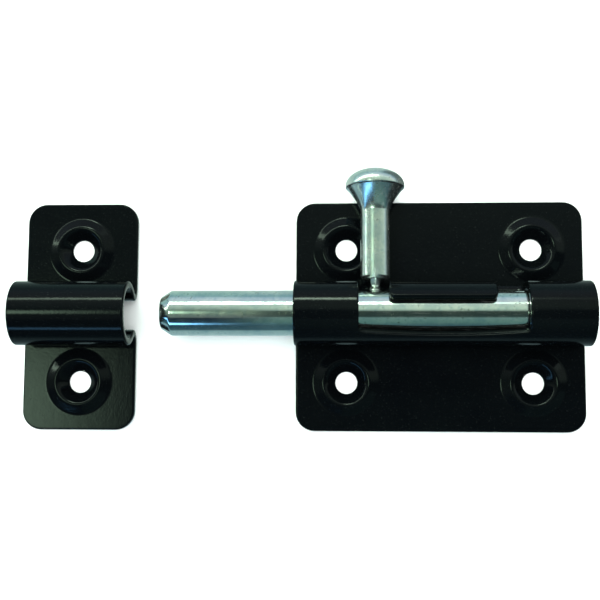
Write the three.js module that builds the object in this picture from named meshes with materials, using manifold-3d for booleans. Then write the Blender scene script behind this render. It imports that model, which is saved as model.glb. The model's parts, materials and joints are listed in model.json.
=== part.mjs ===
// Sliding barrel bolt for a door: a pressed steel housing, a round bolt with a mushroom
// knob that turns down into either end of a slot, and a keeper for the door frame.
// Millimetres. X runs along the bolt, which is thrown towards -X. Z points away from the
// mounting face. The model is drawn about the middle of the housing and then moved, so that
// the origin lies on the housing's back, midway between the two holes on the knob's side.
import * as THREE from 'three';
import { TessellateModifier } from 'three/addons/modifiers/TessellateModifier.js';
import { mergeVertices } from 'three/addons/utils/BufferGeometryUtils.js';
import Module from 'manifold-3d';

const wasm = await Module();
wasm.setup();

// ---- Driving dimensions ----
// sheet metal
const sheet = 1.6;
const plateWidth = 48.2; // housing and keeper, across the bolt
const housingLength = 60;
const keeperLength = 23.8;
const keeperGap = 34.1; // between housing and keeper, as laid out
const cornerRadius = 4;
const neckGap = 6.1; // opening under the barrel, between the two folds
const foldRadius = 1; // inside the fold from plate to barrel

// screw holes, each in a raised crater
const holeDiameter = 4.6;
const holeSpacing = 38.8; // along the bolt
const holeRowSpacing = 28.1; // across the bolt
const craterBaseDiameter = 14.1;
const craterRimDiameter = 8.8;
const craterHeight = 0.9;

// bolt
const boltDiameter = 9.3;
const boltClearance = 0.4; // all round, in the barrel and in the keeper's loop
const tipSetback = 0.25; // withdrawn tip inside the housing's end
const rearSetback = 2; // thrown rear end inside the housing's other end
const tipChamferLength = 2.2;
const tipChamferDepth = 1.4;
const rearChamfer = 0.6;

// slot, in degrees round the bolt from straight up
const tongueLength = 21.5; // between the two notches that lock the knob
const tongueEdgeAngle = 26; // on the knob's side
const slotMiddleAngle = 48; // on the other side, at mid-length
const slotEndAngle = 40; // on the other side, at both ends
const notchAngle = 115; // how far down the notches reach
const notchWidth = 6.15; // either side of the tongue, for the knob's neck
const slotCornerRadius = 1;

// knob
const shaftDiameter = 6;
const shaftClearance = 0.3; // between the shaft's inner end and the barrel
const neckPlay = 0.4; // from the notch's middle to the neck, towards the tongue at rest
const headDiameter = 12.2;
const headRimHeight = 0.6;
const headDomeHeight = 3.5;
const headOverhang = 2.1; // head's rim past the edge of the plate
const flareLength = 5; // from the shaft out to the head's rim
const floorClearance = 0.25; // under the head when the knob is turned down
const edgeClearance = 0.15; // between the flare and the plate's edge

// ---- Derived sizes ----
const boreRadius = boltDiameter / 2 + boltClearance;
const barrelRadius = boreRadius + sheet;
const barrelMiddle = boreRadius + sheet / 2;
const foldMiddle = foldRadius + sheet / 2;
const foldZ = sheet + foldRadius;
const foldY = neckGap / 2 + sheet + foldRadius;
const boltZ = foldZ + Math.sqrt((barrelMiddle + foldMiddle) ** 2 - foldY ** 2);
const stroke = tongueLength + notchWidth;
const keeperX = -(housingLength / 2 + keeperGap + keeperLength / 2);
const headRim = plateWidth / 2 + headOverhang; // from the bolt's axis
const headRadius = headDiameter / 2;
const lipRadius = headRadius - 0.2; // under the head's rim

/** The knob's radius at a part of the flare, from 0 at the shaft to 1 at the head's rim. */
function flareRadius(part) {
  return shaftDiameter / 2 + (lipRadius - shaftDiameter / 2) * part ** 1.5;
}

/** The gap between the plate's edge and the flare, with the knob at an angle below level. */
function edgeGap(angle) {
  const reach = Math.hypot(plateWidth / 2, boltZ - sheet);
  const toEdge = Math.atan2(boltZ - sheet, plateWidth / 2) - angle;
  const part = (reach * Math.cos(toEdge) - headRim) / flareLength + 1;
  return reach * Math.sin(toEdge) - flareRadius(Math.min(Math.max(part, 0), 1));
}

// the knob lies down until its rim is just clear of the mounting plane, or its flare of the plate
let knobDrop =
  Math.asin((boltZ - floorClearance) / Math.hypot(headRim, headRadius)) - Math.atan2(headRadius, headRim);
while (edgeGap(knobDrop) < edgeClearance) knobDrop -= 0.001;

const radians = THREE.MathUtils.degToRad;

// ---- Helpers ----

/** Points along an arc, angles in radians from the first axis towards the second. */
function arc(x, y, radius, from, to, steps) {
  return Array.from({ length: steps + 1 }, (_, i) => {
    const a = from + ((to - from) * i) / steps;
    return new THREE.Vector2(x + radius * Math.cos(a), y + radius * Math.sin(a));
  });
}

function solid(geometry) {
  const bare = geometry.index ? geometry.toNonIndexed() : geometry.clone();
  bare.deleteAttribute('normal');
  bare.deleteAttribute('uv');
  const merged = mergeVertices(bare, 1e-5);
  return new wasm.Manifold(
    new wasm.Mesh({
      numProp: 3,
      vertProperties: new Float32Array(merged.attributes.position.array),
      triVerts: new Uint32Array(merged.index.array),
    }),
  );
}

function geometryOf(manifold) {
  const mesh = manifold.getMesh();
  const geometry = new THREE.BufferGeometry();
  geometry.setAttribute('position', new THREE.BufferAttribute(new Float32Array(mesh.vertProperties), 3));
  geometry.setIndex(new THREE.BufferAttribute(new Uint32Array(mesh.triVerts), 1));
  geometry.computeVertexNormals();
  return geometry;
}

/** A solid of revolution about Z, from [radius, z] points. */
function turned(points, segments) {
  const profile = points.map(([radius, z]) => new THREE.Vector2(radius, z));
  return new THREE.LatheGeometry(profile, segments).rotateX(Math.PI / 2);
}

/** A shape drawn in Y and Z, run along X and centred on it. */
function alongX(shape, length) {
  const toAxes = new THREE.Matrix4().makeBasis(
    new THREE.Vector3(0, 1, 0),
    new THREE.Vector3(0, 0, 1),
    new THREE.Vector3(1, 0, 0),
  );
  return new THREE.ExtrudeGeometry(shape, { depth: length, bevelEnabled: false })
    .translate(0, 0, -length / 2)
    .applyMatrix4(toAxes);
}

// ---- Pressed sheet parts ----

/** The sheet's section: two flat tabs joined by a barrel that stands on two folds. */
function sheetSection() {
  const toFold = Math.atan2(boltZ - foldZ, foldY); // below the horizontal, at the bolt's axis
  const half = plateWidth / 2;
  const barrelSteps = 48;
  const foldSteps = 8;
  const down = -Math.PI / 2;
  return new THREE.Shape([
    new THREE.Vector2(half, 0),
    ...arc(foldY, foldZ, foldRadius + sheet, down, -Math.PI - toFold, foldSteps),
    ...arc(0, boltZ, boreRadius, -toFold, Math.PI + toFold, barrelSteps).slice(1, -1),
    ...arc(-foldY, foldZ, foldRadius + sheet, toFold, down, foldSteps),
    new THREE.Vector2(-half, 0),
    new THREE.Vector2(-half, sheet),
    ...arc(-foldY, foldZ, foldRadius, down, toFold, foldSteps),
    ...arc(0, boltZ, barrelRadius, Math.PI + toFold, -toFold, barrelSteps).slice(1, -1),
    ...arc(foldY, foldZ, foldRadius, -Math.PI - toFold, down, foldSteps),
    new THREE.Vector2(half, sheet),
  ]);
}

/** A block with the sheet's rounded outline seen from above, taller than the part. */
function outlineBlock(length) {
  const x = length / 2 - cornerRadius;
  const y = plateWidth / 2 - cornerRadius;
  const quarter = Math.PI / 2;
  const corners = [[x, y], [-x, y], [-x, -y], [x, -y]];
  const outline = corners.flatMap(([cx, cy], i) => arc(cx, cy, cornerRadius, i * quarter, (i + 1) * quarter, 8));
  const height = boltZ + barrelRadius + 2;
  return new THREE.ExtrudeGeometry(new THREE.Shape(outline), { depth: height, bevelEnabled: false })
    .translate(0, 0, -1);
}

/** Raises a crater round each screw hole, hollows it from behind and cuts the hole. */
function withScrewHoles(body, places) {
  const base = craterBaseDiameter / 2;
  const rim = craterRimDiameter / 2;
  const hole = holeDiameter / 2;
  const top = sheet + craterHeight;
  const lip = top - (rim - hole); // the crater's side slopes at 45 degrees
  const hollow = craterHeight; // the sheet keeps its thickness under the rim
  const segments = 32;
  const sunk = sheet / 2;
  const raised = turned([[0, sunk], [base, sunk], [base, sheet], [rim + 1.2, top - 0.2], [rim, top], [0, top]], segments);
  const crater = turned([[0, -1], [hole, -1], [hole, lip], [rim + 1, top + 1], [0, top + 1]], segments);
  const ring = [[rim - hollow, -0.01], [base - 0.6, -0.01], [rim + 0.8, hollow], [rim, hollow]];
  const behind = turned([...ring, ring[0]], segments);
  for (const [x, y] of places) {
    body = body
      .add(solid(raised.clone().translate(x, y, 0)))
      .subtract(solid(crater.clone().translate(x, y, 0)))
      .subtract(solid(behind.clone().translate(x, y, 0)));
  }
  return body;
}

function pressedSheet(length, places) {
  const body = solid(alongX(sheetSection(), length)).intersect(solid(outlineBlock(length)));
  return withScrewHoles(body, places);
}

/**
 * The slot's outline in the flat, before the barrel is rolled: x along the bolt, and
 * across it the angle round the barrel times its middle radius, positive on the knob's side.
 */
function slotOutline() {
  const across = (degrees) => radians(degrees) * barrelMiddle;
  const end = tongueLength / 2 + notchWidth;
  const side = tongueLength / 2;
  const r = slotCornerRadius;
  const quarter = Math.PI / 2;
  const notch = across(notchAngle);
  const tongue = across(tongueEdgeAngle);
  const far = -across(slotEndAngle);
  const bow = across(slotMiddleAngle) - across(slotEndAngle);
  // the far edge bows outwards: an arc through both ends and the middle
  const halfChord = end - r;
  const bowRadius = (halfChord ** 2 + bow ** 2) / (2 * bow);
  const bowHalf = Math.asin(halfChord / bowRadius);
  const steps = 4;
  return new THREE.Shape([
    ...arc(side + r, notch - r, r, 2 * quarter, quarter, steps),
    ...arc(end - r, notch - r, r, quarter, 0, steps),
    ...arc(end - r, far + r, r, 0, -quarter, steps),
    ...arc(0, far - bow + bowRadius, bowRadius, bowHalf - quarter, -bowHalf - quarter, 12).slice(1, -1),
    ...arc(-end + r, far + r, r, -quarter, -2 * quarter, steps),
    ...arc(-end + r, notch - r, r, 2 * quarter, quarter, steps),
    ...arc(-side - r, notch - r, r, quarter, 0, steps),
    ...arc(-side + r, tongue + r, r, -2 * quarter, -quarter, steps),
    ...arc(side - r, tongue + r, r, -quarter, 0, steps),
  ]);
}

/** The slot's cutter: its flat outline as a slab through the sheet, rolled round the bolt. */
function slotCutter() {
  const spare = 1;
  const depth = sheet + 2 * spare;
  const slab = new THREE.ExtrudeGeometry(slotOutline(), { depth, bevelEnabled: false });
  const longestEdge = 1.2;
  const fine = new TessellateModifier(longestEdge, 40).modify(slab);
  const point = fine.attributes.position;
  for (let i = 0; i < point.count; i += 1) {
    const angle = point.getY(i) / barrelMiddle;
    const radius = boreRadius - spare + point.getZ(i);
    point.setXYZ(i, point.getX(i), radius * Math.sin(angle), boltZ + radius * Math.cos(angle));
  }
  return solid(fine);
}

function housing() {
  const x = holeSpacing / 2;
  const y = holeRowSpacing / 2;
  const body = pressedSheet(housingLength, [[x, y], [-x, y], [-x, -y], [x, -y]]);
  return geometryOf(body.subtract(slotCutter()));
}

function keeper() {
  const y = holeRowSpacing / 2;
  return geometryOf(pressedSheet(keeperLength, [[0, y], [0, -y]]));
}

// ---- Turned parts ----

/** The bolt along Z, tip at the top, centred where the knob's shaft meets it. */
function bolt() {
  const radius = boltDiameter / 2;
  const tip = housingLength / 2 - tipSetback + stroke / 2 + neckPlay;
  const rear = -(housingLength / 2 - rearSetback + stroke / 2 - neckPlay);
  return turned([
    [0, rear],
    [radius - rearChamfer, rear],
    [radius, rear + rearChamfer],
    [radius, tip - tipChamferLength],
    [radius - tipChamferDepth, tip],
    [0, tip],
  ], 48);
}

/** The knob along Z, from the shaft's inner end to the top of its domed head. */
function knob() {
  const radius = shaftDiameter / 2;
  const inner = barrelRadius + shaftClearance;
  const chamfer = 0.5;
  const steps = 8;
  const flare = Array.from({ length: steps + 1 }, (_, i) => {
    const part = i / steps;
    return [flareRadius(part), headRim - flareLength * (1 - part)];
  });
  const dome = arc(0, headRim + headRimHeight, 1, 0, Math.PI / 2, 8)
    .map(({ x, y }) => [headRadius * x, headRim + headRimHeight + (y - headRim - headRimHeight) * headDomeHeight]);
  return turned([
    [0, inner],
    [radius - chamfer, inner],
    [radius, inner + chamfer],
    ...flare,
    [headRadius, headRim + 0.3],
    ...dome.slice(0, -1),
    [0, headRim + headRimHeight + headDomeHeight],
  ], 40);
}

// ---- Assembly ----

function powderCoat() {
  return new THREE.MeshStandardMaterial({ color: 0x14181a, roughness: 0.28, metalness: 0 });
}

function zincPlate() {
  return new THREE.MeshStandardMaterial({ color: 0xbcc2c4, roughness: 0.25, metalness: 1 });
}

function piece(name, geometry, material) {
  const mesh = new THREE.Mesh(geometry, material);
  mesh.name = name;
  return mesh;
}

const latch = new THREE.Group();
latch.position.y = -holeRowSpacing / 2;

const keeperPiece = piece('keeper', keeper(), powderCoat());
keeperPiece.position.x = keeperX;

// the bolt and its knob share this group, thrown into the keeper's side of the slot
const boltGroup = new THREE.Group();
boltGroup.position.set(-stroke / 2 + neckPlay, 0, boltZ);

const boltPiece = piece('bolt', bolt(), zincPlate());
boltPiece.rotation.y = -Math.PI / 2;

const knobPiece = piece('knob', knob(), zincPlate());
knobPiece.rotation.x = -Math.PI / 2 - knobDrop;

boltGroup.add(boltPiece, knobPiece);
latch.add(piece('housing', housing(), powderCoat()), keeperPiece, boltGroup);

export default latch;
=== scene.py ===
# %% [markdown]
# # A barrel slide bolt in black powder coat and bright zinc
#
# The real latch is four pieces. Two are strips of sheet steel that were blanked flat, pressed
# and rolled, then powder coated: the housing and the keeper. Two are turned from steel bar and
# zinc plated: the bolt, and the mushroom knob whose thin neck is set into it.
#
# The frame gives the place and size of every piece. This lesson makes the fine surfaces on top
# of it: sheet with rounded edges and pressed craters, turned parts with small fillets, and the
# two finishes.

# %% Load the frame
import json
import math

import bmesh
import bpy
import numpy as np
from mathutils import Euler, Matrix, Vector
from mathutils.geometry import delaunay_2d_cdt


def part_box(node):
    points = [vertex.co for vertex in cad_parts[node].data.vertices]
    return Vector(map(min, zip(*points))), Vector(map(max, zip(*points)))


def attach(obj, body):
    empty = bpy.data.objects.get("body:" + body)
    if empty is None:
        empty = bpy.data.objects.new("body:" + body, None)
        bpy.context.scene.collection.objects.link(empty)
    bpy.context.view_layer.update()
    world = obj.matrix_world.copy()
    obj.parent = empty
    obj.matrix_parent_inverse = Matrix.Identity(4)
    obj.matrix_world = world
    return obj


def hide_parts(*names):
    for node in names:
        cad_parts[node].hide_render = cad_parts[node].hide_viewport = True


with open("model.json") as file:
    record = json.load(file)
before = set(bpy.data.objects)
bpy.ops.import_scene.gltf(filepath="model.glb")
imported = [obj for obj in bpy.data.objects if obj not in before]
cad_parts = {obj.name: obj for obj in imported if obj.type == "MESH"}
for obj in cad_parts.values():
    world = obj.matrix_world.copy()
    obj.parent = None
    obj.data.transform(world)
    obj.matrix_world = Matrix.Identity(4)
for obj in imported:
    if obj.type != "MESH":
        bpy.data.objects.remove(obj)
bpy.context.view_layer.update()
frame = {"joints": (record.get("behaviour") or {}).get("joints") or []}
MM = 0.001

# %% [markdown]
# ## Sizes
#
# Overall sizes and places come from the frame's boxes. Only what a box can't say is written
# here: the sheet's thickness, the folds, the craters and the slot.

# %% Sizes from the frame
housing_low, housing_high = (Vector(v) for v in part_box("housing"))
keeper_low, keeper_high = (Vector(v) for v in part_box("keeper"))
bolt_low, bolt_high = (Vector(v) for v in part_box("bolt"))
knob_low, knob_high = (Vector(v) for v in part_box("knob"))

BOLT_RADIUS = (bolt_high.z - bolt_low.z) / 2
BOLT_Y = (bolt_high.y + bolt_low.y) / 2
BOLT_Z = (bolt_high.z + bolt_low.z) / 2
PLATE_WIDTH = housing_high.y - housing_low.y
BARREL_RADIUS = housing_high.z - BOLT_Z
print(f"bolt {2 * BOLT_RADIUS / MM:.2f} mm across, its axis {BOLT_Z / MM:.2f} mm above the door")

# %% Sizes of the sheet, the craters and the slot
SHEET = 1.6 * MM
FOLD_RADIUS = 1.0 * MM
CORNER_RADIUS = 4.0 * MM
EDGE_RADIUS = 0.32 * MM
HOLE_RADIUS = 2.3 * MM
HOLE_SPACING = 38.8 * MM
HOLE_ROWS = 28.1 * MM
CRATER_BASE = 7.05 * MM
CRATER_TOP = 4.75 * MM
CRATER_RIM = 4.4 * MM
CRATER_HEIGHT = 0.9 * MM

TONGUE_LENGTH = 21.5 * MM
NOTCH_WIDTH = 6.15 * MM
SLOT_CORNER = 1.0 * MM
TONGUE_EDGE = math.radians(26)
SLOT_MIDDLE = math.radians(48)
SLOT_END = math.radians(40)
NOTCH_DEPTH = math.radians(115)

MIDDLE_RADIUS = BARREL_RADIUS - SHEET / 2
FOLD_MIDDLE = FOLD_RADIUS + SHEET / 2
FOLD_HEIGHT = SHEET + FOLD_RADIUS
ROLL_ANGLE = math.pi - math.acos((BOLT_Z - FOLD_HEIGHT) / (MIDDLE_RADIUS + FOLD_MIDDLE))
ROLLED_LENGTH = MIDDLE_RADIUS * ROLL_ANGLE
FOLDED_LENGTH = FOLD_MIDDLE * ROLL_ANGLE
FOLD_Y = (MIDDLE_RADIUS + FOLD_MIDDLE) * math.sin(ROLL_ANGLE)
BLANK_HALF = ROLLED_LENGTH + FOLDED_LENGTH + PLATE_WIDTH / 2 - FOLD_Y
print(f"the flat blank is {2 * BLANK_HALF / MM:.1f} mm across before it is rolled")

# %% [markdown]
# ## Node maths written as Python
#
# Both the rolling of the sheet and the finishes are sums over a surface. A Math node per
# operation is hard to read, so one small class wraps a socket and overloads the operators, and
# another makes any other node from its type, its settings and its inputs.

# %% Wire and Tree
class Wire:
    """A node's output, so that node maths can be written as a Python sum."""

    def __init__(self, tree, socket):
        self.tree = tree
        self.socket = socket

    def maths(self, operation, *values):
        return self.tree.node("ShaderNodeMath", {"operation": operation}, dict(enumerate(values)))

    def __add__(self, other):
        return self.maths("ADD", self, other)

    def __radd__(self, other):
        return self.maths("ADD", other, self)

    def __sub__(self, other):
        return self.maths("SUBTRACT", self, other)

    def __rsub__(self, other):
        return self.maths("SUBTRACT", other, self)

    def __mul__(self, other):
        return self.maths("MULTIPLY", self, other)

    def __rmul__(self, other):
        return self.maths("MULTIPLY", other, self)

    def __truediv__(self, other):
        return self.maths("DIVIDE", self, other)

    def least(self, other):
        return self.maths("MINIMUM", self, other)

    def most(self, other):
        return self.maths("MAXIMUM", self, other)

    def sine(self):
        return self.maths("SINE", self)

    def cosine(self):
        return self.maths("COSINE", self)

    def size(self):
        return self.maths("ABSOLUTE", self)

    def sign(self):
        return self.maths("SIGN", self)

    def step(self, low, high):
        """0 below low, 1 above high, and a smooth rise between."""
        return self.tree.node(
            "ShaderNodeMapRange",
            {"interpolation_type": "SMOOTHSTEP"},
            {"Value": self, "From Min": low, "From Max": high},
        )


class Tree:
    """Adds nodes to a node tree."""

    def __init__(self, node_tree):
        self.node_tree = node_tree

    def node(self, kind, settings=None, inputs=None, output=0):
        made = self.node_tree.nodes.new(kind)
        for name, value in (settings or {}).items():
            if name == "ramp":
                self.set_ramp(made.color_ramp, value)
            else:
                setattr(made, name, value)
        for key, value in (inputs or {}).items():
            self.join(self.input_of(made, key), value)
        if not made.outputs:
            return made
        if isinstance(output, str):
            output = [s.name for s in made.outputs if s.enabled].index(output)
        return Wire(self, [s for s in made.outputs if s.enabled][output])

    def input_of(self, made, key):
        if isinstance(key, int):
            return made.inputs[key]
        return next(s for s in made.inputs if s.name == key and s.enabled)

    def split(self, vector):
        """The three numbers of a vector."""
        made = self.node_tree.nodes.new("ShaderNodeSeparateXYZ")
        self.node_tree.links.new(vector.socket, made.inputs[0])
        return [Wire(self, s) for s in made.outputs]

    def join(self, socket, value):
        if isinstance(value, Wire):
            self.node_tree.links.new(value.socket, socket)
        else:
            socket.default_value = value

    def set_ramp(self, ramp, stops):
        while len(ramp.elements) < len(stops):
            ramp.elements.new(0.5)
        for element, (place, color) in zip(ramp.elements, stops):
            element.position = place
            element.color = (*color, 1)


print("node maths ready")

# %% [markdown]
# ## The camera and the studio
#
# The latch lies on its back on a pale table. The camera looks down on it, a little from the
# front and the left, from about 20 cm: near enough that the keeper and the housing's rear end
# lean away from each other.

# %% Camera
CAMERA_LENS = 59.34
CAMERA_HEIGHT = 209.1 * MM
CAMERA_LEFT = -18.4 * MM
CAMERA_FRONT = -18.0 * MM
CAMERA_TURN = tuple(math.radians(a) for a in (5.88, 2.94, 0.28))

camera = bpy.data.objects.new("camera", bpy.data.cameras.new("camera"))
camera.data.lens = CAMERA_LENS
camera.data.clip_start = 10 * MM
camera.location = (CAMERA_LEFT, BOLT_Y + CAMERA_FRONT, CAMERA_HEIGHT)
camera.rotation_euler = Euler(CAMERA_TURN)
bpy.context.collection.objects.link(camera)
bpy.context.scene.camera = camera
print("camera", [round(v, 4) for v in camera.location])

# %% [markdown]
# Glossy paint and plated bar show little but what they reflect, and a round bar draws out
# whatever it reflects as lines along itself. So the studio is a room described across the bolt,
# by the angle from straight up: a bright tube low on the knob's side, a dim greenish ceiling,
# dark blue on the other side, and a grey table. Its two ends differ, so there are two ramps, and
# three lamps are added: the tube, a pale window over the keeper and a small blue lamp behind it.

# %% The room
# degrees from straight up, towards the knob's side, and the colour there
ROOM_KEEPER_END = (
    (-180, (0.42, 0.62, 0.64)),
    (-147, (0.40, 0.60, 0.615)),
    (-108, (0.25, 0.45, 0.48)),
    (-98, (0.035, 0.10, 0.13)),
    (-66, (0.02, 0.06, 0.09)),
    (-31, (0.006, 0.015, 0.03)),
    (-25, (0.15, 0.20, 0.19)),
    (-8, (0.20, 0.29, 0.22)),
    (8, (0.16, 0.25, 0.19)),
    (20, (0.35, 0.49, 0.42)),
    (38, (0.60, 0.76, 0.68)),
    (60, (0.62, 0.74, 0.80)),
    (77, (0.52, 0.71, 0.81)),
    (90, (0.26, 0.48, 0.52)),
    (110, (0.32, 0.58, 0.54)),
    (160, (0.60, 0.78, 0.70)),
)
ROOM_HOUSING_END = (
    (-180, (0.42, 0.62, 0.64)),
    (-147, (0.40, 0.60, 0.615)),
    (-108, (0.25, 0.45, 0.48)),
    (-97, (0.05, 0.13, 0.165)),
    (-70, (0.05, 0.12, 0.14)),
    (-48, (0.11, 0.24, 0.21)),
    (-28, (0.15, 0.28, 0.26)),
    (-22, (0.025, 0.05, 0.045)),
    (4, (0.03, 0.052, 0.045)),
    (10, (0.36, 0.50, 0.42)),
    (19, (0.58, 0.80, 0.64)),
    (38, (0.60, 0.76, 0.66)),
    (60, (0.62, 0.74, 0.80)),
    (77, (0.52, 0.71, 0.81)),
    (90, (0.26, 0.48, 0.52)),
    (160, (0.60, 0.78, 0.70)),
)
# x and z below are parts of a direction's length, x towards the housing's rear end
ROOM_CHANGE = (-0.15, -0.09)  # from one ramp to the other, along x
LAMP_EDGE = 3

TUBE = (23.0, 31.0, 24.0)
TUBE_ANGLE = 47.5
TUBE_WIDTH = 3.5
TUBE_START = (-0.26, -0.14)
TUBE_START_LOSS = 0.6
TUBE_FADE = (-0.02, 0.10)
TUBE_FADE_LOSS = 0.85
TUBE_END = (0.08, 0.22)
TUBE_END_LOSS = 0.13

WINDOW = (8.0, 12.0, 8.5)
WINDOW_REACH = (-4, 1)
WINDOW_EDGE = 6
WINDOW_START = (-0.55, -0.42)
WINDOW_END = (-0.36, -0.20)

BLUE_LAMP = (1.2, 3.3, 5.6)
BLUE_ANGLE = -62
BLUE_WIDTH = 5
BLUE_END = (-0.24, -0.16)

DIM_ALONG = (0.20, 0.32)
DIM_HEIGHT = (-0.2, 0.15)
DIM_LOSS = 0.75
BACKDROP = (0.97, 0.975, 0.975, 1)


def room():
    made = bpy.data.worlds.new("room")
    made.use_nodes = True
    tree = Tree(made.node_tree)
    shader = made.node_tree.nodes["Background"]
    x, y, z = tree.split(tree.node("ShaderNodeTexCoord", output="Generated"))
    angle = y.maths("ARCTAN2", y, z) * (180 / math.pi)

    def ramp(table):
        stops = [((degrees + 180) / 360, color) for degrees, color in table]
        return tree.node("ShaderNodeValToRGB", {"ramp": stops}, {"Fac": angle / 360 + 0.5})

    def band(low, high, edge):
        """1 between two angles, with soft edges."""
        return angle.step(low - edge, low) * (1 - angle.step(high, high + edge))

    def lamp_band(middle, width):
        return band(middle - width / 2, middle + width / 2, LAMP_EDGE)

    def scaled(color, level):
        return tree.node("ShaderNodeVectorMath", {"operation": "SCALE"}, {0: color, "Scale": level})

    def lit(color, level, lamp):
        glow = scaled(lamp, level)
        return tree.node("ShaderNodeVectorMath", {"operation": "ADD"}, {0: color, 1: glow})

    towards_housing = x.step(*ROOM_CHANGE)
    ends = tree.node(
        "ShaderNodeMix", {"data_type": "RGBA"},
        {"Factor": towards_housing, "A": ramp(ROOM_KEEPER_END), "B": ramp(ROOM_HOUSING_END)},
    )
    fading = 1 - x.step(*TUBE_FADE) * TUBE_FADE_LOSS - x.step(*TUBE_END) * TUBE_END_LOSS
    fading = fading - (1 - x.step(*TUBE_START)) * TUBE_START_LOSS
    tube = lamp_band(TUBE_ANGLE, TUBE_WIDTH) * fading
    window = band(*WINDOW_REACH, WINDOW_EDGE) * x.step(*WINDOW_START) * (1 - x.step(*WINDOW_END))
    blue = lamp_band(BLUE_ANGLE, BLUE_WIDTH) * (1 - x.step(*BLUE_END))
    dimming = 1 - x.step(*DIM_ALONG) * (1 - z.step(*DIM_HEIGHT)) * DIM_LOSS
    light = lit(scaled(ends, dimming), tube, TUBE)
    light = lit(lit(light, window, WINDOW), blue, BLUE_LAMP)
    seen = tree.node("ShaderNodeLightPath", output="Is Camera Ray")
    color = tree.node(
        "ShaderNodeMix", {"data_type": "RGBA"}, {"Factor": seen, "A": light, "B": BACKDROP},
    )
    tree.join(shader.inputs["Color"], color)
    return made


bpy.context.scene.world = room()
bpy.context.scene.view_settings.view_transform = "Standard"
print("room ready, with", len(ROOM_KEEPER_END) + len(ROOM_HOUSING_END), "stops")

# %% [markdown]
# A wide soft box above gives the table its pale tone and the latch its soft shadow. It is left
# out of reflections, and so is the table, because the room already says what the gloss shows.

# %% Lamp and floor
LATCH_MIDDLE = Vector(((keeper_low.x + housing_high.x) / 2, BOLT_Y, BOLT_Z))
SOFT_BOX_SIZE = 1.2
SOFT_BOX_HEIGHT = 1.1
SOFT_BOX_POWER = 20

soft_box = bpy.data.objects.new("soft_box", bpy.data.lights.new("soft_box", "AREA"))
soft_box.data.size = SOFT_BOX_SIZE
soft_box.data.energy = SOFT_BOX_POWER
soft_box.location = LATCH_MIDDLE + Vector((0, 0, SOFT_BOX_HEIGHT))
soft_box.visible_glossy = False
bpy.context.collection.objects.link(soft_box)

FLOOR_SIZE = 4.0
FLOOR_DROP = 0.05 * MM
FLOOR_ROUGHNESS = 0.9
floor_mesh = bpy.data.meshes.new("floor")
square = ((-1, -1), (1, -1), (1, 1), (-1, 1))
corners = [(x * FLOOR_SIZE / 2, y * FLOOR_SIZE / 2, -FLOOR_DROP) for x, y in square]
floor_mesh.from_pydata(corners, [], [(0, 1, 2, 3)])
floor = bpy.data.objects.new("floor", floor_mesh)
floor.visible_glossy = False
bpy.context.collection.objects.link(floor)
floor_paint = bpy.data.materials.new("floor_paint")
floor_paint.use_nodes = True
floor_shader = floor_paint.node_tree.nodes["Principled BSDF"]
floor_shader.inputs["Base Color"].default_value = BACKDROP
floor_shader.inputs["Roughness"].default_value = FLOOR_ROUGHNESS
floor_mesh.materials.append(floor_paint)
print("lamp and floor ready")

# %% [markdown]
# ## Powder coat
#
# Powder coat is a thick glossy plastic skin, baked on. It is never quite flat: it has a fine
# orange peel, and specks where grains didn't melt in.

# %% Powder coat
COAT_DARK = (0.0008, 0.0011, 0.0018)
COAT_LIGHT = (0.0018, 0.0024, 0.0028)
COAT_IOR = 1.22
COAT_ROUGHNESS = 0.07
COAT_RELIEF = 0.03 * MM
COAT_BUMP = 0.5
CLOUD_SCALE = 90
CLOUD_ROUGHNESS = 0.06
PEEL_SCALE = 700
GRAIN_SCALE = 2600
SPECK_SCALE = 4200
SPECK_RANGE = (0.68, 0.74)
SPECK_COLOR = (0.02, 0.024, 0.023)
SPECK_SHARE = 0.25
SPECK_ROUGHNESS = 0.2


def material(name):
    """A new material, its tree and its shader."""
    made = bpy.data.materials.new(name)
    made.use_nodes = True
    return made, Tree(made.node_tree), made.node_tree.nodes["Principled BSDF"]


def noise(tree, place, scale, detail, roughness=0.5):
    inputs = {"Vector": place, "Scale": scale, "Detail": detail, "Roughness": roughness}
    return tree.node("ShaderNodeTexNoise", None, inputs)


def bump(tree, shader, strength, distance, height):
    inputs = {"Strength": strength, "Distance": distance, "Height": height}
    tree.join(shader.inputs["Normal"], tree.node("ShaderNodeBump", None, inputs))


def mix_color(tree, factor, a, b):
    a, b = ((*c, 1) if isinstance(c, tuple) else c for c in (a, b))
    settings = {"data_type": "RGBA"}
    return tree.node("ShaderNodeMix", settings, {"Factor": factor, "A": a, "B": b})


def powder_coat():
    made, tree, shader = material("black_powder_coat")
    place = tree.node("ShaderNodeTexCoord", output="Object")
    cloud = noise(tree, place, CLOUD_SCALE, 3)
    peel = noise(tree, place, PEEL_SCALE, 2)
    grain = noise(tree, place, GRAIN_SCALE, 2)
    specks = noise(tree, place, SPECK_SCALE, 1).step(*SPECK_RANGE)
    black = mix_color(tree, cloud, COAT_DARK, COAT_LIGHT)
    color = mix_color(tree, specks * SPECK_SHARE, black, SPECK_COLOR)
    tree.join(shader.inputs["Base Color"], color)
    roughness = COAT_ROUGHNESS + cloud * CLOUD_ROUGHNESS + specks * SPECK_ROUGHNESS
    tree.join(shader.inputs["Roughness"], roughness)
    shader.inputs["IOR"].default_value = COAT_IOR
    bump(tree, shader, COAT_BUMP, COAT_RELIEF, peel * 0.5 + grain * 0.5)
    return made


black_coat = powder_coat()
print("coat ready:", black_coat.name)

# %% [markdown]
# ## Zinc plate
#
# Zinc plate is thin and bright, and shows the steel under it: fine lines along the bar from its
# drawing, soft blotches and spangle from the bath, and small dark pits inside the blotches. A
# thin milky haze lies on it in streaks, most on the knob.

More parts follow.
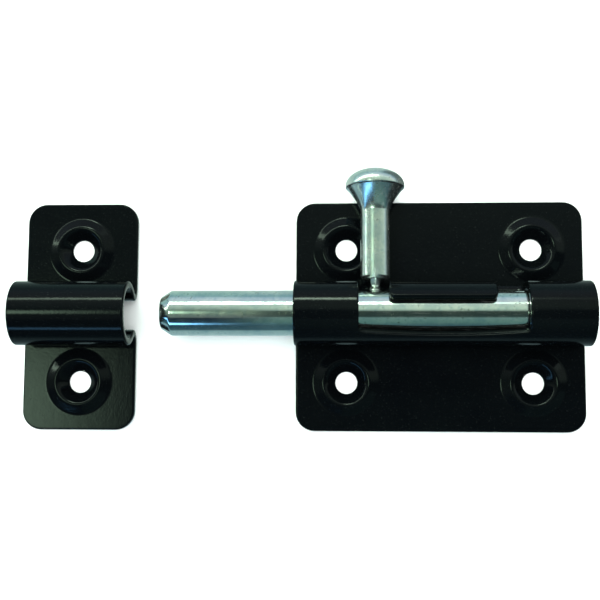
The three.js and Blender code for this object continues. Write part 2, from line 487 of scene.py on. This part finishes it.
# %% Zinc plate
ZINC_GREY = (0.60, 0.65, 0.65)
ZINC_WARM = (0.76, 0.77, 0.73)
SPANGLE_COLOR = (0.44, 0.55, 0.60)
SPANGLE_RANGE = (0.50, 0.72)
SPANGLE_SCALE = 1100
BLOTCH_RANGE = (0.35, 0.65)
BLOTCH_SCALE = 230
LINE_STRETCH = 0.12
LINE_SCALE = 1500
PIT_COLOR = (0.12, 0.13, 0.11)
PIT_SHARE = 0.75
PIT_RANGE = (0.62, 0.70)
PIT_PATCH = (0.44, 0.60)
PIT_SCALE = 2300
HAZE_RANGE = (0.54, 0.68)
HAZE_SCALE = 2600
ZINC_RELIEF = 0.01 * MM


def zinc_plate(name, along, gloss, haze, mottle):
    """Zinc plate with its drawn lines along one axis, from 0 for x to 2 for z."""
    made, tree, shader = material(name)
    place = tree.node("ShaderNodeTexCoord", output="Object")
    stretch = tuple(LINE_STRETCH if i == along else 1.0 for i in range(3))
    drawn = tree.node("ShaderNodeMapping", None, {"Vector": place, "Scale": stretch})
    lines = noise(tree, drawn, LINE_SCALE, 3)
    blotch = noise(tree, place, BLOTCH_SCALE, 4, 0.6)
    spangle = noise(tree, place, SPANGLE_SCALE, 3, 0.6)
    pits = noise(tree, place, PIT_SCALE, 2).step(*PIT_RANGE) * blotch.step(*PIT_PATCH)
    milky = noise(tree, drawn, HAZE_SCALE, 3, 0.6).step(*HAZE_RANGE)
    tone = mix_color(tree, blotch.step(*BLOTCH_RANGE), ZINC_GREY, ZINC_WARM)
    color = mix_color(tree, spangle.step(*SPANGLE_RANGE) * 0.5, tone, SPANGLE_COLOR)
    color = mix_color(tree, pits * PIT_SHARE, color, PIT_COLOR)
    tree.join(shader.inputs["Base Color"], color)
    tree.join(shader.inputs["Metallic"], 1 - haze * (0.3 + milky * 1.7))
    roughness = gloss + blotch * 0.08 + lines * 0.05 + pits * 0.15
    tree.join(shader.inputs["Roughness"], roughness)
    bump(tree, shader, mottle, ZINC_RELIEF, lines * 0.5 + spangle * 0.5)
    return made


bolt_plate = zinc_plate("bolt_zinc_plate", along=0, gloss=0.05, haze=0.014, mottle=1.0)
knob_plate = zinc_plate("knob_zinc_plate", along=1, gloss=0.17, haze=0.06, mottle=1.0)
print("finishes:", black_coat.name, bolt_plate.name, knob_plate.name)

# %% [markdown]
# ## The flat blank
#
# A press cuts each strip flat, with its holes and slot, and raises a crater round each screw
# hole. The blank is drawn the same way: x runs along the bolt, y across the strip, and z is the
# height above the middle of the sheet. Every outline is given as arcs, and a call with an inset
# moves it into the metal, which is how the rounded edges are made.

# %% Outlines
FINEST = 0.4 * MM
CORNER_STEPS = 12
RING_POINTS = 96


def arc(x, y, radius, start, end, steps=None):
    steps = steps or max(3, round(abs(end - start) * radius / FINEST))
    angles = np.linspace(start, end, steps + 1)
    return np.stack([x + radius * np.cos(angles), y + radius * np.sin(angles)], axis=1)


def closed(parts):
    """Joins stretches into one loop, with points put in where they are far apart."""
    corners = np.concatenate(parts)
    loop = []
    for here, there in zip(corners, np.roll(corners, -1, axis=0)):
        count = max(1, math.ceil(np.linalg.norm(there - here) / FINEST))
        loop += [here + (there - here) * i / count for i in range(count)]
    return np.array(loop)


def plate_outline(length):
    def outline(inset):
        x = length / 2 - CORNER_RADIUS
        y = BLANK_HALF - CORNER_RADIUS
        quarter = math.pi / 2
        radius = CORNER_RADIUS - inset
        return closed([
            arc(*center, radius, i * quarter, (i + 1) * quarter, CORNER_STEPS)
            for i, center in enumerate(((x, y), (-x, y), (-x, -y), (x, -y)))
        ])

    return outline


def ring(x, y, radius):
    return arc(x, y, radius, 0, 2 * math.pi, RING_POINTS)[:-1]


def slot_outline(inset):
    """The knob's way through the barrel, positive y on the knob's side."""
    quarter = math.pi / 2
    side = TONGUE_LENGTH / 2
    end = side + NOTCH_WIDTH
    angles = (NOTCH_DEPTH, TONGUE_EDGE, -SLOT_END, -SLOT_MIDDLE)
    notch, tongue, far, deep = (MIDDLE_RADIUS * a for a in angles)
    r = SLOT_CORNER
    half_chord = end - r
    bow_radius = (half_chord**2 + (far - deep) ** 2) / (2 * (far - deep))
    bow = math.asin(half_chord / bow_radius)
    return closed([
        arc(side + r, notch - r, r + inset, 2 * quarter, quarter),
        arc(end - r, notch - r, r + inset, quarter, 0),
        arc(end - r, far + r, r + inset, 0, -quarter),
        arc(0, deep + bow_radius, bow_radius + inset, bow - quarter, -bow - quarter)[1:-1],
        arc(-end + r, far + r, r + inset, -quarter, -2 * quarter),
        arc(-end + r, notch - r, r + inset, 2 * quarter, quarter),
        arc(-side - r, notch - r, r + inset, quarter, 0),
        arc(-side + r, tongue + r, r - inset, -2 * quarter, -quarter),
        arc(side - r, tongue + r, r - inset, -quarter, 0),
    ])


def hole_outline(x, y):
    def outline(inset):
        return ring(x, y, HOLE_RADIUS + inset)

    return outline


print("slot outline has", len(slot_outline(0)), "points")

# %% [markdown]
# The crater is a rule of the distance from the hole's centre: a straight flank with a small curve
# at each end, a narrow top, and a cone that falls at 45 degrees for the screw's head. A soft
# minimum of the two gives the rim its roundness. Behind it the metal is hollow, since the sheet
# was pushed up there.

# %% Heights of the two faces
RIM_SOFTNESS = 0.45 * MM
FLANK_CURVE = 0.35 * MM
HOLLOW_START = CRATER_RIM + 0.8 * MM
HOLLOW_EDGE = 6.4 * MM
EASE_STEPS = 201


def soft_least(a, b, softness):
    blend = np.clip(0.5 + 0.5 * (b - a) / softness, 0, 1)
    return b + (a - b) * blend - softness * blend * (1 - blend)


def smooth(value, low, high):
    part = np.clip((value - low) / (high - low), 0, 1)
    return part * part * (3 - 2 * part)


def eased(value, low, high, curve):
    """0 to 1 from low to high in a straight line, with a short curve at each end."""
    steps = np.linspace(low, high, EASE_STEPS)
    slope = np.minimum(np.minimum(steps - low, high - steps) / curve, 1)
    rise = np.concatenate([[0], np.cumsum((slope[1:] + slope[:-1]) / 2)])
    return np.interp(value, steps, rise / rise[-1])


def crater_front(distance):
    """Height of the front face above the plate's face."""
    lift = CRATER_HEIGHT + RIM_SOFTNESS / 4
    flank = lift * (1 - eased(distance, CRATER_TOP, CRATER_BASE, FLANK_CURVE))
    cone = lift - (CRATER_RIM - distance)
    return np.where(distance < CRATER_BASE, soft_least(flank, cone, RIM_SOFTNESS), 0)


def crater_back(distance):
    """Height of the hollow behind."""
    inner = smooth(distance, CRATER_RIM - CRATER_HEIGHT, CRATER_RIM)
    outer = smooth(distance, HOLLOW_START, HOLLOW_EDGE)
    return CRATER_HEIGHT * inner * (1 - outer)


def edge_drop(inset, radius):
    """How far a rounded edge falls away from the face, at an inset from the edge."""
    part = np.clip(radius - inset, 0, radius)
    return radius - np.sqrt(radius**2 - part**2)


print(f"crater's rim stands {crater_front(np.array([CRATER_RIM]))[0] / MM:.2f} mm above the plate")

# %% [markdown]
# The outlines, the rings round the craters and a grid between them are joined into triangles
# once, and that net is used for both faces of the sheet. Walls join the two along each outline.

# %% The blank's mesh
EDGE_STEPS = 4
EDGE_MARGIN = 0.1 * MM
GRID_X = 1.6 * MM
FOLD_STEP = 0.26 * MM
TAB_STEP = 2.0 * MM
CRATER_STEP = 0.22 * MM
CRATER_MARGIN = 0.5 * MM
HOLE_EDGE = 0.15 * MM
HOLE_MARGIN = 1.6 * CRATER_STEP
GRID_FROM_CRATER = 1.0 * MM
GRID_FROM_SLOT = 0.25 * MM
NET_GAP = 1e-9
SLIVER = 1e-11  # square metres: a flatter triangle lies on a straight stretch of the outline


def inside(points, loop):
    """Which points lie inside a loop."""
    x, y = points[:, :1], points[:, 1:]
    ax, ay = loop[:, 0], loop[:, 1]
    bx, by = np.roll(ax, -1), np.roll(ay, -1)
    crosses = (ay > y) != (by > y)
    rise = np.where(by == ay, 1, by - ay)
    return (crosses & (x < ax + (y - ay) * (bx - ax) / rise)).sum(axis=1) % 2 == 1


def far_from(points, loop, gap):
    """Which points keep a distance from a loop."""
    steps = [np.hypot(points[:, 0] - x, points[:, 1] - y) > gap for x, y in loop[::2]]
    return np.all(steps, axis=0)


def grid_rows():
    """Positions across the strip: close together where it will bend."""
    half = np.concatenate([
        np.arange(0, ROLLED_LENGTH, FINEST),
        np.arange(ROLLED_LENGTH, ROLLED_LENGTH + FOLDED_LENGTH, FOLD_STEP),
        np.arange(ROLLED_LENGTH + FOLDED_LENGTH, BLANK_HALF, TAB_STEP),
    ])
    return np.unique(np.concatenate([-half, half]))


def areas(triangles):
    """Twice the area of each flat triangle."""
    one, two = np.moveaxis(triangles[:, 1:] - triangles[:, :1], 1, 0)
    return np.abs(one[:, 0] * two[:, 1] - one[:, 1] * two[:, 0])


def blank_net(length, holes, slots):
    """The blank's points, their edge drops, the stretches between them and its rims."""
    outer = plate_outline(length)
    points, drops, edges, rims = [], [], [], []

    def add_loop(loop, drop):
        first, count = len(points), len(loop)
        points.extend(loop)
        drops.extend([drop] * count)
        edges.extend((first + i, first + (i + 1) % count) for i in range(count))
        return list(range(first, first + count))

    for outline, radius in (
        [(outer, EDGE_RADIUS)]
        + [(slot, EDGE_RADIUS) for slot in slots]
        + [(hole_outline(x, y), HOLE_EDGE) for x, y in holes]
    ):
        insets = radius * (1 - np.cos(np.linspace(0, math.pi / 2, EDGE_STEPS + 1)))
        for i, inset in enumerate([*insets, radius + EDGE_MARGIN]):
            loop = add_loop(outline(inset), edge_drop(inset, radius))
            if i == 0:
                rims.append(loop)

    first_ring = HOLE_RADIUS + HOLE_EDGE + HOLE_MARGIN
    for x, y in holes:
        for radius in np.arange(first_ring, CRATER_BASE + CRATER_MARGIN, CRATER_STEP):
            add_loop(ring(x, y, radius), 0)

    columns = np.linspace(-length / 2, length / 2, round(length / GRID_X) + 1)
    rows = grid_rows()
    grid = np.stack(np.meshgrid(columns, rows), axis=-1).reshape(-1, 2)
    grid = grid[inside(grid, outer(EDGE_RADIUS + 4 * EDGE_MARGIN))]
    for x, y in holes:
        distance = np.hypot(grid[:, 0] - x, grid[:, 1] - y)
        grid = grid[distance > CRATER_BASE + GRID_FROM_CRATER]
    for slot in slots:
        loop = slot(EDGE_RADIUS + EDGE_MARGIN)
        grid = grid[~inside(grid, loop)]
        grid = grid[far_from(grid, loop, GRID_FROM_SLOT)]
    return [*points, *grid], drops + [0] * len(grid), edges, rims


def blank_mesh(name, length, holes, slots):
    points, drops, edges, rims = blank_net(length, holes, slots)
    net = delaunay_2d_cdt([Vector(p) for p in points], edges, [], 0, NET_GAP)
    place = np.array([tuple(v) for v in net[0]])
    faces = np.array(net[2])
    drop = np.array([drops[group[0]] for group in net[3]])
    new_of = {old: new for new, group in enumerate(net[3]) for old in group}

    middle = place[faces].mean(axis=1)
    keep = inside(middle, plate_outline(length)(0)) & (areas(place[faces]) > SLIVER)
    for x, y in holes:
        keep &= ~inside(middle, hole_outline(x, y)(0))
    for slot in slots:
        keep &= ~inside(middle, slot(0))
    faces = faces[keep]

    front = np.full(len(place), SHEET / 2)
    back = np.full(len(place), -SHEET / 2)
    for x, y in holes:
        distance = np.hypot(place[:, 0] - x, place[:, 1] - y)
        front += crater_front(distance)
        back += crater_back(distance)
    sides = [np.column_stack([place, height]) for height in (front - drop, back + drop)]
    vertices = np.concatenate(sides)
    shift = len(place)
    polygons = [tuple(f) for f in faces] + [tuple(f[::-1] + shift) for f in faces]
    for rim in rims:
        loop = [new_of[i] for i in rim]
        polygons += [(a, b, b + shift, a + shift) for a, b in zip(loop, loop[1:] + loop[:1])]

    mesh = bpy.data.meshes.new(name)
    mesh.from_pydata(vertices.tolist(), [], [tuple(int(i) for i in p) for p in polygons])
    return mesh


def tidy(mesh):
    """Drops loose points and turns every face outwards."""
    work = bmesh.new()
    work.from_mesh(mesh)
    bmesh.ops.delete(work, geom=[v for v in work.verts if not v.link_faces], context="VERTS")
    bmesh.ops.recalc_face_normals(work, faces=work.faces)
    work.to_mesh(mesh)
    open_edges = sum(1 for e in work.edges if len(e.link_faces) != 2)
    work.free()
    return open_edges


hole_row = BLANK_HALF - PLATE_WIDTH / 2 + HOLE_ROWS / 2
housing_holes = [(x * HOLE_SPACING / 2, y * hole_row) for x in (-1, 1) for y in (-1, 1)]
keeper_holes = [(0, y * hole_row) for y in (-1, 1)]
housing_length = housing_high.x - housing_low.x
keeper_length = keeper_high.x - keeper_low.x
housing_blank = blank_mesh("housing_blank", housing_length, housing_holes, [slot_outline])
keeper_blank = blank_mesh("keeper_blank", keeper_length, keeper_holes, [])
for blank in (housing_blank, keeper_blank):
    print(blank.name, len(blank.polygons), "faces, open edges:", tidy(blank))

# %% [markdown]
# ## Rolling the strip
#
# The strip's section is a rule: an arc of barrel, a fold that turns back by the same angle, and a
# flat tab, the same on both sides. Geometry Nodes bend the flat blank by it. Each point's
# distance across the strip says how far round the barrel and the fold it lies, and its height
# moves it along the bent sheet's own normal. The normals are read while the blank is flat, where
# they are exact, and are turned by the same angle, so the rolled gloss has no ripples.

# %% The rolling tree
def rolling_tree():
    group = bpy.data.node_groups.new("roll_strip", "GeometryNodeTree")
    face = group.interface
    face.new_socket("Geometry", in_out="INPUT", socket_type="NodeSocketGeometry")
    for name in ("Barrel Radius", "Fold Radius", "Roll Angle", "Axis Height", "Axis Side", "Along"):
        face.new_socket(name, in_out="INPUT", socket_type="NodeSocketFloat")
    face.new_socket("Finish", in_out="INPUT", socket_type="NodeSocketMaterial")
    face.new_socket("Geometry", in_out="OUTPUT", socket_type="NodeSocketGeometry")
    tree = Tree(group)
    entry = group.nodes.new("NodeGroupInput")
    given = {s.name: Wire(tree, s) for s in entry.outputs}
    barrel, fold, roll = given["Barrel Radius"], given["Fold Radius"], given["Roll Angle"]

    def stored(geometry, name, value, kind):
        settings = {"data_type": kind, "domain": "POINT"}
        inputs = {"Geometry": geometry, "Name": name, "Value": value}
        return tree.node("GeometryNodeStoreNamedAttribute", settings, inputs)

    def read(name, kind):
        return tree.node("GeometryNodeInputNamedAttribute", {"data_type": kind}, {"Name": name})

    x, across, height = tree.split(tree.node("GeometryNodeInputPosition"))
    side = across.sign()
    run = across.size()
    on_barrel = run.least(barrel * roll) / barrel
    on_fold = (run - barrel * roll).most(0.0).least(fold * roll) / fold
    on_tab = (run - (barrel + fold) * roll).most(0.0)
    left = roll - on_fold
    lean = on_barrel - on_fold
    y = barrel * on_barrel.sine() + fold * (roll.sine() - left.sine()) + on_tab
    y = y + height * lean.sine()
    z = given["Axis Height"] + barrel * on_barrel.cosine()
    z = z + fold * (roll.cosine() - left.cosine()) + height * lean.cosine()
    bent = tree.node(
        "ShaderNodeCombineXYZ", None,
        {"X": x + given["Along"], "Y": side * y + given["Axis Side"], "Z": z},
    )
    flat_normal = tree.node("GeometryNodeInputNormal")
    flat = stored(given["Geometry"], "flat_normal", flat_normal, "FLOAT_VECTOR")
    flat = stored(flat, "lean", side * lean, "FLOAT")
    rolled = tree.node("GeometryNodeSetPosition", None, {"Geometry": flat, "Position": bent})
    nx, ns, nn = tree.split(read("flat_normal", "FLOAT_VECTOR"))
    turn = read("lean", "FLOAT")
    ny = ns * turn.cosine() + nn * turn.sine()
    nz = nn * turn.cosine() - ns * turn.sine()
    normal = tree.node("ShaderNodeCombineXYZ", None, {"X": nx, "Y": ny, "Z": nz})
    smooth_mesh = tree.node("GeometryNodeSetShadeSmooth", None, {"Geometry": rolled})
    shaded = tree.node(
        "GeometryNodeSetMeshNormal", {"mode": "FREE", "domain": "POINT"},
        {"Mesh": smooth_mesh, "Custom Normal": normal},
    )
    bare = shaded
    for name in ("flat_normal", "lean"):
        bare = tree.node("GeometryNodeRemoveAttribute", None, {"Geometry": bare, "Name": name})
    real = tree.node("GeometryNodeRealizeInstances", None, {"Geometry": bare})
    finished = {"Geometry": real, "Material": given["Finish"]}
    done = tree.node("GeometryNodeSetMaterial", None, finished)
    leave = group.nodes.new("NodeGroupOutput")
    group.links.new(done.socket, leave.inputs[0])
    return group


def placed(name, mesh):
    """A new object in the scene."""
    piece = bpy.data.objects.new(name, mesh)
    bpy.context.collection.objects.link(piece)
    return piece


def made_by(group, name, start, values):
    """Runs a Geometry Nodes tree on a mesh and returns the result as a plain object."""
    source = placed(name + "_source", start)
    modifier = source.modifiers.new("shape", "NODES")
    modifier.node_group = group
    sockets = {s.name: s.identifier for s in group.interface.items_tree if s.in_out == "INPUT"}
    for key, value in values.items():
        modifier[sockets[key]] = value
    graph = bpy.context.evaluated_depsgraph_get()
    mesh = bpy.data.meshes.new_from_object(source.evaluated_get(graph), depsgraph=graph)
    bpy.data.objects.remove(source)
    mesh.name = name
    return placed(name, mesh)


roll_strip = rolling_tree()
strip_sizes = {
    "Barrel Radius": MIDDLE_RADIUS, "Fold Radius": FOLD_MIDDLE, "Roll Angle": ROLL_ANGLE,
    "Axis Height": BOLT_Z, "Axis Side": BOLT_Y, "Finish": black_coat,
}
for body, blank, low, high in (
    ("housing", housing_blank, housing_low, housing_high),
    ("keeper", keeper_blank, keeper_low, keeper_high),
):
    sizes = strip_sizes | {"Along": (low.x + high.x) / 2}
    shell = made_by(roll_strip, body + "_shell", blank, sizes)
    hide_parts(body)
    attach(shell, body)
    print(shell.name, len(shell.data.polygons), "faces")

# %% [markdown]
# ## The turned pieces
#
# The bolt and the knob come off a lathe, so each is a profile carried round an axis. The profile
# is a chain of corners, each with its own small fillet, because a lathe tool and the plating
# leave no corner sharp, and a fillet is what catches the light.

# %% Profiles and turning
FILLET_STEPS = 6
TURN_STEPS = 128
ON_AXIS = 0.0001 * MM
NEARLY_STRAIGHT = math.radians(88)


def filleted(corners):
    """A profile from (radius, along, fillet) corners, each fillet made an arc."""
    spots = [np.array(c[:2], float) for c in corners]
    profile = [spots[0]]
    for before, here, after, (_, _, fillet) in zip(spots, spots[1:], spots[2:], corners[1:]):
        into, out = before - here, after - here
        into, out = into / np.linalg.norm(into), out / np.linalg.norm(out)
        half = math.acos(np.clip(np.dot(into, out), -1, 1)) / 2
        if fillet <= 0 or half > NEARLY_STRAIGHT:
            profile.append(here)
            continue
        reach = fillet / math.tan(half)
        middle = (into + out) / np.linalg.norm(into + out)
        center = here + middle * fillet / math.sin(half)
        start = here + into * reach - center
        end = here + out * reach - center
        for part in np.linspace(0, 1, FILLET_STEPS + 1):
            spoke = start * (1 - part) + end * part
            profile.append(center + spoke / np.linalg.norm(spoke) * fillet)
    return profile + [spots[-1]]


def turned(name, profile, origin, direction, finish):
    """Carries a profile of (radius, along) points round a line."""
    along = Vector(direction).normalized()
    one = along.orthogonal().normalized()
    two = along.cross(one)
    vertices, polygons, rows = [], [], []
    for radius, distance in ((float(r), float(d)) for r, d in profile):
        center = Vector(origin) + along * distance
        if radius < ON_AXIS:
            rows.append([len(vertices)] * TURN_STEPS)
            vertices.append(center)
            continue
        rows.append([len(vertices) + i for i in range(TURN_STEPS)])
        for i in range(TURN_STEPS):
            angle = 2 * math.pi * i / TURN_STEPS
            vertices.append(center + radius * (one * math.cos(angle) + two * math.sin(angle)))
    for low, high in zip(rows, rows[1:]):
        for i in range(TURN_STEPS):
            j = (i + 1) % TURN_STEPS
            corner = [low[i], low[j], high[j], high[i]]
            polygons.append(list(dict.fromkeys(corner)))
    mesh = bpy.data.meshes.new(name)
    mesh.from_pydata(vertices, [], polygons)
    mesh.materials.append(finish)
    mesh.shade_smooth()
    tidy(mesh)
    return placed(name, mesh)


print("lathe ready,", TURN_STEPS, "steps a turn")

# %% The bolt
# a plain bar, chamfered at the tip and just broken at the rear edge
TIP_LENGTH = 2.2 * MM
TIP_DEPTH = 1.4 * MM
REAR_CHAMFER = 0.6 * MM
bar_length = bolt_high.x - bolt_low.x
bolt_profile = filleted([
    (0, 0, 0),
    (BOLT_RADIUS - TIP_DEPTH, 0, 0.5 * MM),
    (BOLT_RADIUS, TIP_LENGTH, 0.9 * MM),
    (BOLT_RADIUS, bar_length - REAR_CHAMFER, 0.3 * MM),
    (BOLT_RADIUS - REAR_CHAMFER, bar_length, 0.2 * MM),
    (0, bar_length, 0),
])
bolt_bar = turned("bolt_bar", bolt_profile, (bolt_low.x, BOLT_Y, BOLT_Z), (1, 0, 0), bolt_plate)
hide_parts("bolt")
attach(bolt_bar, "bolt")
print("bolt_bar", len(bolt_bar.data.polygons), "faces")

# %% [markdown]
# The knob is one turned piece. Its head is a low dome with a thin rim, hollowed underneath into a
# trumpet that runs down into the shaft. Below the shaft a thin neck passes through the slot into
# the bolt. The neck is the only part that goes inside the barrel.

# %% The knob
knob_hinge = next(j for j in frame["joints"] if j["type"] == "hinge")
KNOB_ORIGIN = Vector(knob_hinge["pos_m"])
SHAFT_RADIUS = 3.0 * MM
SHAFT_INNER = BARREL_RADIUS + 0.3 * MM
SHAFT_CHAMFER = 0.5 * MM
NECK_RADIUS = 1.0 * MM
NECK_FOOT = 1.2 * MM
NECK_START = BOLT_RADIUS - 0.05 * MM
NECK_TAPER_END = BOLT_RADIUS + 1.0 * MM
HEAD_RADIUS = (knob_high.x - knob_low.x) / 2
HEAD_RIM = PLATE_WIDTH / 2 + 2.1 * MM
RIM_EDGE = 0.2 * MM
RIM_HEIGHT = 0.6 * MM
DOME_HEIGHT = 3.5 * MM
FLARE = 5.0 * MM
FLOOR_GAP = 0.25 * MM
HEAD_REACH = math.hypot(HEAD_RIM, HEAD_RADIUS)
# the knob lies down until its head is just clear of the mounting plane
KNOB_DROP = math.asin((BOLT_Z - FLOOR_GAP) / HEAD_REACH) - math.atan2(HEAD_RADIUS, HEAD_RIM)


FLARE_STEPS = 24
RIM_STEPS = 6
DOME_STEPS = 32


def knob_profile():
    """The whole knob, neck first, as radii and distances from the bolt's axis."""
    lip = HEAD_RADIUS - RIM_EDGE
    top = HEAD_RIM + RIM_HEIGHT
    shaft = filleted([
        (0, NECK_START, 0),
        (NECK_FOOT, NECK_START, 0),
        (NECK_RADIUS, NECK_TAPER_END, 0.8 * MM),
        (NECK_RADIUS, SHAFT_INNER, 0.1 * MM),
        (SHAFT_RADIUS - SHAFT_CHAMFER, SHAFT_INNER, 0.1 * MM),
        (SHAFT_RADIUS, SHAFT_INNER + SHAFT_CHAMFER, 0.3 * MM),
        (SHAFT_RADIUS, HEAD_RIM - FLARE, 0),
    ])
    flare = [
        (SHAFT_RADIUS + (lip - SHAFT_RADIUS) * part**1.5, HEAD_RIM - FLARE * (1 - part))
        for part in np.linspace(0, 1, FLARE_STEPS + 1)[1:]
    ]
    rim = [
        (lip + RIM_EDGE * math.sin(a), HEAD_RIM + RIM_EDGE * (1 - math.cos(a)))
        for a in np.linspace(0, math.pi / 2, RIM_STEPS + 1)[1:]
    ]
    dome = [
        (HEAD_RADIUS * math.cos(a), top + DOME_HEIGHT * math.sin(a))
        for a in np.linspace(0, math.pi / 2, DOME_STEPS + 1)[:-1]
    ]
    return shaft + flare + rim + dome + [(0, top + DOME_HEIGHT)]


knob_direction = (0, math.cos(KNOB_DROP), -math.sin(KNOB_DROP))
knob_piece = turned("knob_turned", knob_profile(), KNOB_ORIGIN, knob_direction, knob_plate)
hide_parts("knob")
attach(knob_piece, "knob")
print("knob_turned", len(knob_piece.data.polygons), "faces")

# %% [markdown]
# At the root of the neck a short ridge is left, which runs out on to the shaft. It is a small
# faceted solid, so its corners are listed one by one and its edges bevelled.

# %% The ridge at the neck's root
ROOT_CORNERS = (
    # millimetres: to the side, out from the shaft's inner end, and up from its axis
    (0, 1.65, 3.3), (0, -0.1, 3.2), (0, -1.4, 1.15),
    (-1.15, 1.6, 2.6), (-1.15, -0.1, 2.2), (-0.95, -1.4, 0.3),
    (1.15, 1.6, 2.6), (1.15, -0.1, 2.2), (0.95, -1.4, 0.3),
)
ROOT_FACES = (
    (0, 1, 4, 3), (1, 2, 5, 4), (1, 0, 6, 7), (2, 1, 7, 8),
    (0, 3, 6), (3, 4, 7, 6), (4, 5, 8, 7), (2, 8, 5),
)
ROOT_BEVEL = 0.12 * MM
ROOT_BEVEL_STEPS = 3


def neck_root():
    outwards = Vector(knob_direction)
    sideways = Vector((1, 0, 0))
    upwards = sideways.cross(outwards)
    work = bmesh.new()
    for side, out, up in ROOT_CORNERS:
        place = sideways * side * MM + outwards * (SHAFT_INNER + out * MM) + upwards * up * MM
        work.verts.new(KNOB_ORIGIN + place)
    work.verts.ensure_lookup_table()
    for corners in ROOT_FACES:
        work.faces.new([work.verts[i] for i in corners])
    bmesh.ops.bevel(
        work, geom=work.edges[:], offset=ROOT_BEVEL, segments=ROOT_BEVEL_STEPS, profile=0.5,
        affect="EDGES",
    )
    bmesh.ops.recalc_face_normals(work, faces=work.faces)
    mesh = bpy.data.meshes.new("neck_root")
    work.to_mesh(mesh)
    work.free()
    mesh.materials.append(knob_plate)
    return placed("neck_root", mesh)


root_piece = neck_root()
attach(root_piece, "knob")
print("neck_root", len(root_piece.data.polygons), "faces")
